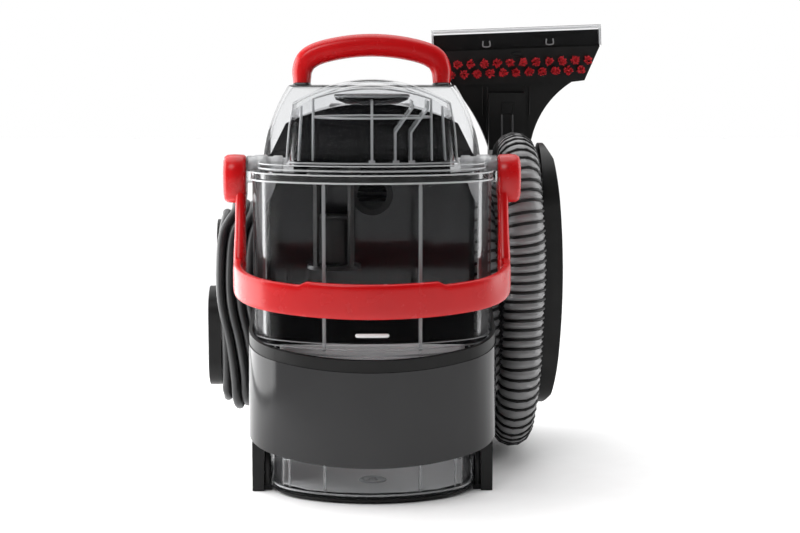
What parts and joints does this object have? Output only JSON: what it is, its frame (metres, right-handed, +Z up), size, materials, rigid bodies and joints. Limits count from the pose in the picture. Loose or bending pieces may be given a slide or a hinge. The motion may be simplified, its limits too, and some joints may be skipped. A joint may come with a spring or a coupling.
{
  "type": "portable spot carpet extractor",
  "caption": "Portable spot extractor with lift-out clear dirty tank, red bail, domed clean tank, suction hose on a side rack, fan-shaped stair tool and a wound mains lead.",
  "frame": {"origin": "on the floor, at the underside of the middle rubber foot, under the motor column, on the machine's middle plane", "axes": "+Z up, +X towards the hose rack, +Y towards the clean tank; the dirty tank and skirt face -Y"},
  "size_m": [0.3517, 0.389, 0.3684],
  "materials": {
    "red_plastic": "satin moulded red",
    "gloss_charcoal": "high gloss charcoal",
    "black_plastic": "fine-textured black",
    "clear_plastic": "clear polycarbonate",
    "smoke_hose": "smoky grey ribbed hose",
    "cord_rubber": "satin black lead",
    "rubber": "soft black rubber",
    "grey_plastic": "light grey moulding",
    "steel": "zinc plated",
    "motor_metal": "cast",
    "bristle_red": "nylon bristle"
  },
  "bodies": {
    "root": {"base_tray": "black_plastic", "front_skirt": "gloss_charcoal", "skirt_collar": "black_plastic", "rubber_feet": "rubber", "column_front_shell": "gloss_charcoal", "column_rear_shell": "gloss_charcoal", "column_cap": "gloss_charcoal", "shell_screws": "steel", "switch_block": "grey_plastic", "duct_gasket": "rubber", "vacuum_motor": "motor_metal", "motor_mount": "rubber", "fan_housing": "black_plastic", "water_pump": "grey_plastic", "heater_block": "motor_metal", "hose_port_elbow": "black_plastic", "hose_rack_hub": "black_plastic", "hose_rack_flange": "black_plastic", "tool_clip": "black_plastic", "hose": "smoke_hose", "hose_cuff": "black_plastic", "grip_left_shell": "black_plastic", "grip_right_shell": "black_plastic", "neck_spigot": "black_plastic", "trigger_pin": "steel", "trigger_spring": "steel", "spray_valve": "grey_plastic", "upper_cord_hook": "black_plastic", "hook_stub": "black_plastic", "cord_hank": "cord_rubber", "cord_lead": "cord_rubber", "cord_tail": "cord_rubber", "strain_relief": "rubber", "plug": "rubber"},
    "fan": {"motor_shaft": "steel", "impeller": "motor_metal"},
    "tank": {"dirty_tank": "clear_plastic", "bail_pins": "clear_plastic"},
    "bail": {"bail": "red_plastic"},
    "lid": {"tank_lid": "clear_plastic", "lid_baffles": "clear_plastic", "lid_gasket": "rubber", "float_cage": "black_plastic"},
    "float": {"tank_float": "black_plastic"},
    "clean": {"clean_tank": "clear_plastic", "carry_handle": "red_plastic"},
    "cap": {"clean_tank_cap": "black_plastic"},
    "valve": {"cap_valve": "grey_plastic"},
    "power": {"power_button": "grey_plastic"},
    "heat": {"heat_button": "grey_plastic"},
    "cord_hook": {"lower_cord_hook": "black_plastic"},
    "trigger": {"trigger": "red_plastic"},
    "tool": {"stair_tool": "black_plastic", "nozzle_window": "clear_plastic", "bristle_strip": "black_plastic", "bristle_tufts": "bristle_red", "spray_tip": "black_plastic"},
    "release": {"tool_release_button": "black_plastic"}
  },
  "joints": [
    {"name": "tank_lift", "type": "slide", "parent": "root", "child": "tank", "axis": [0, 0, 1], "range_m": [0, 0.26]},
    {"name": "bail_swing", "type": "hinge", "parent": "tank", "child": "bail", "pos_m": [0, -0.088, 0.253], "axis": [-1, 0, 0], "range_deg": [0, 175]},
    {"name": "lid_lift", "type": "slide", "parent": "tank", "child": "lid", "axis": [0, 0, 1], "range_m": [0, 0.12]},
    {"name": "float_rise", "type": "slide", "parent": "lid", "child": "float", "axis": [0, 0, 1], "range_m": [0, 0.025]},
    {"name": "clean_tank_lift", "type": "slide", "parent": "root", "child": "clean", "axis": [0, 0, 1], "range_m": [0, 0.2]},
    {"name": "cap_turn", "type": "hinge", "parent": "clean", "child": "cap", "pos_m": [0, 0.113, 0.02], "axis": [0, 0, 1], "continuous": true},
    {"name": "valve_lift", "type": "slide", "parent": "cap", "child": "valve", "axis": [0, 0, 1], "range_m": [0, 0.004], "stiffness_N_per_m": 300},
    {"name": "fan_spin", "type": "hinge", "parent": "root", "child": "fan", "pos_m": [0, 0.012, 0.15], "axis": [0, 0, 1], "continuous": true},
    {"name": "power_press", "type": "slide", "parent": "root", "child": "power", "axis": [0, 0, -1], "range_m": [0, 0.003], "stiffness_N_per_m": 800},
    {"name": "heat_press", "type": "slide", "parent": "root", "child": "heat", "axis": [0, 0, -1], "range_m": [0, 0.003], "stiffness_N_per_m": 800},
    {"name": "cord_hook_turn", "type": "hinge", "parent": "root", "child": "cord_hook", "pos_m": [-0.1, 0.01, 0.085], "axis": [1, 0, 0], "range_deg": [0, 180]},
    {"name": "trigger_squeeze", "type": "hinge", "parent": "root", "child": "trigger", "pos_m": [0.126, 0.17597, 0.20003], "axis": [-1, 0, 0], "range_deg": [0, 7], "stiffness_Nm_per_rad": 1.5, "deforming": ["trigger_spring"]},
    {"name": "tool_pull", "type": "slide", "parent": "root", "child": "tool", "axis": [0, 0, 1], "range_m": [0, 0.07]},
    {"name": "release_press", "type": "slide", "parent": "tool", "child": "release", "axis": [0, 1, 0], "range_m": [0, 0.002], "stiffness_N_per_m": 500}
  ]
}
